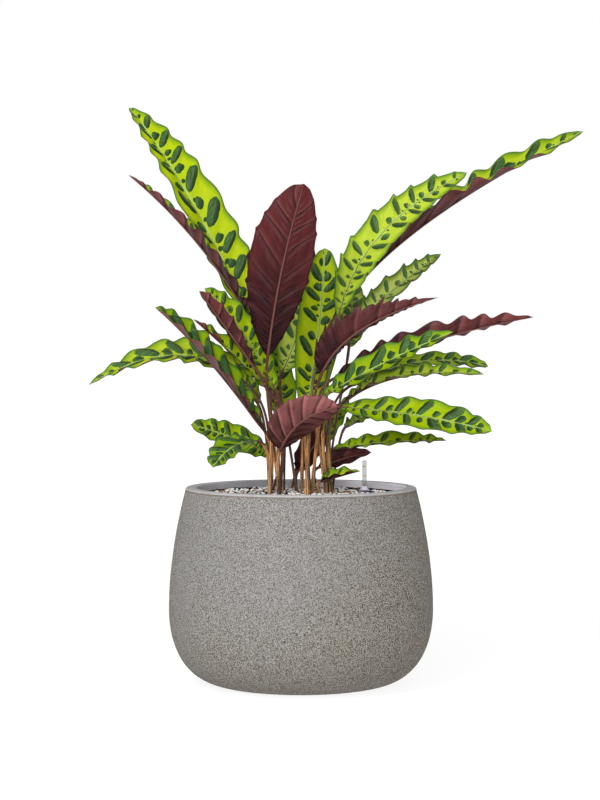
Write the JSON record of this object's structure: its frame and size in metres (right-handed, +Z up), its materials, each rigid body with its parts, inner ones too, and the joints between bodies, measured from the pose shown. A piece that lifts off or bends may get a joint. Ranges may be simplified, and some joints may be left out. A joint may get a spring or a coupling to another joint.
{
  "type": "potted rattlesnake plant",
  "caption": "Patterned foliage plant with long waved leaves, lime above with dark blotches and maroon below, in a round grey planter with granules and a water gauge.",
  "frame": {"origin": "centre of the planter's underside, on the surface that it stands on", "axes": "+Z up, the long way of the plant along X, its front towards -Y"},
  "size_m": [0.666, 0.4188, 0.772],
  "materials": {
    "concrete": "matte grey fibre concrete, finely wrinkled outside, smooth at the rim and inside",
    "planting_mix": "dark damp crumb",
    "granules": "small mixed stones, brown to cream",
    "gauge_body": "smoky translucent plastic",
    "gauge_window": "clear plastic tube with plain yellow ticks",
    "gauge_float": "red float",
    "leaf": "living leaf, satin lime green with dark green blotches above, velvety maroon below, stalk tan and brown"
  },
  "bodies": {
    "root": {"planter": "concrete", "planting_mix": "planting_mix", "granules": "granules", "gauge_shaft": "gauge_body", "gauge_foot": "gauge_body", "gauge_tube": "gauge_window", "gauge_float": "gauge_float", "leaf_tall_left": "leaf", "leaf_dark_left_high": "leaf", "leaf_front_tall_dark": "leaf", "leaf_center_bright": "leaf", "leaf_center_left_pale": "leaf", "leaf_arch_right": "leaf", "leaf_far_right_long": "leaf", "leaf_mid_right_wavy": "leaf", "leaf_dark_right_mid": "leaf", "leaf_small_right_back": "leaf", "leaf_long_right_dark": "leaf", "leaf_green_right_mid": "leaf", "leaf_right_flat_back": "leaf", "leaf_right_arch": "leaf", "leaf_right_low_big": "leaf", "leaf_right_low_narrow": "leaf", "leaf_right_low_dark": "leaf", "leaf_right_lowest_small": "leaf", "leaf_left_arch_long": "leaf", "leaf_far_left_low": "leaf", "leaf_dark_left_mid": "leaf", "leaf_green_left_mid": "leaf", "leaf_thin_left": "leaf", "leaf_left_low_upper": "leaf", "leaf_left_low_front": "leaf", "leaf_front_small_dark": "leaf", "leaf_low_middle_dark": "leaf", "leaf_inner_left_green": "leaf", "leaf_inner_right_green": "leaf", "leaf_back_tall": "leaf", "leaf_back_center": "leaf", "leaf_back_low_center": "leaf", "leaf_back_low_right": "leaf", "leaf_back_low_left": "leaf"}
  },
  "joints": []
}
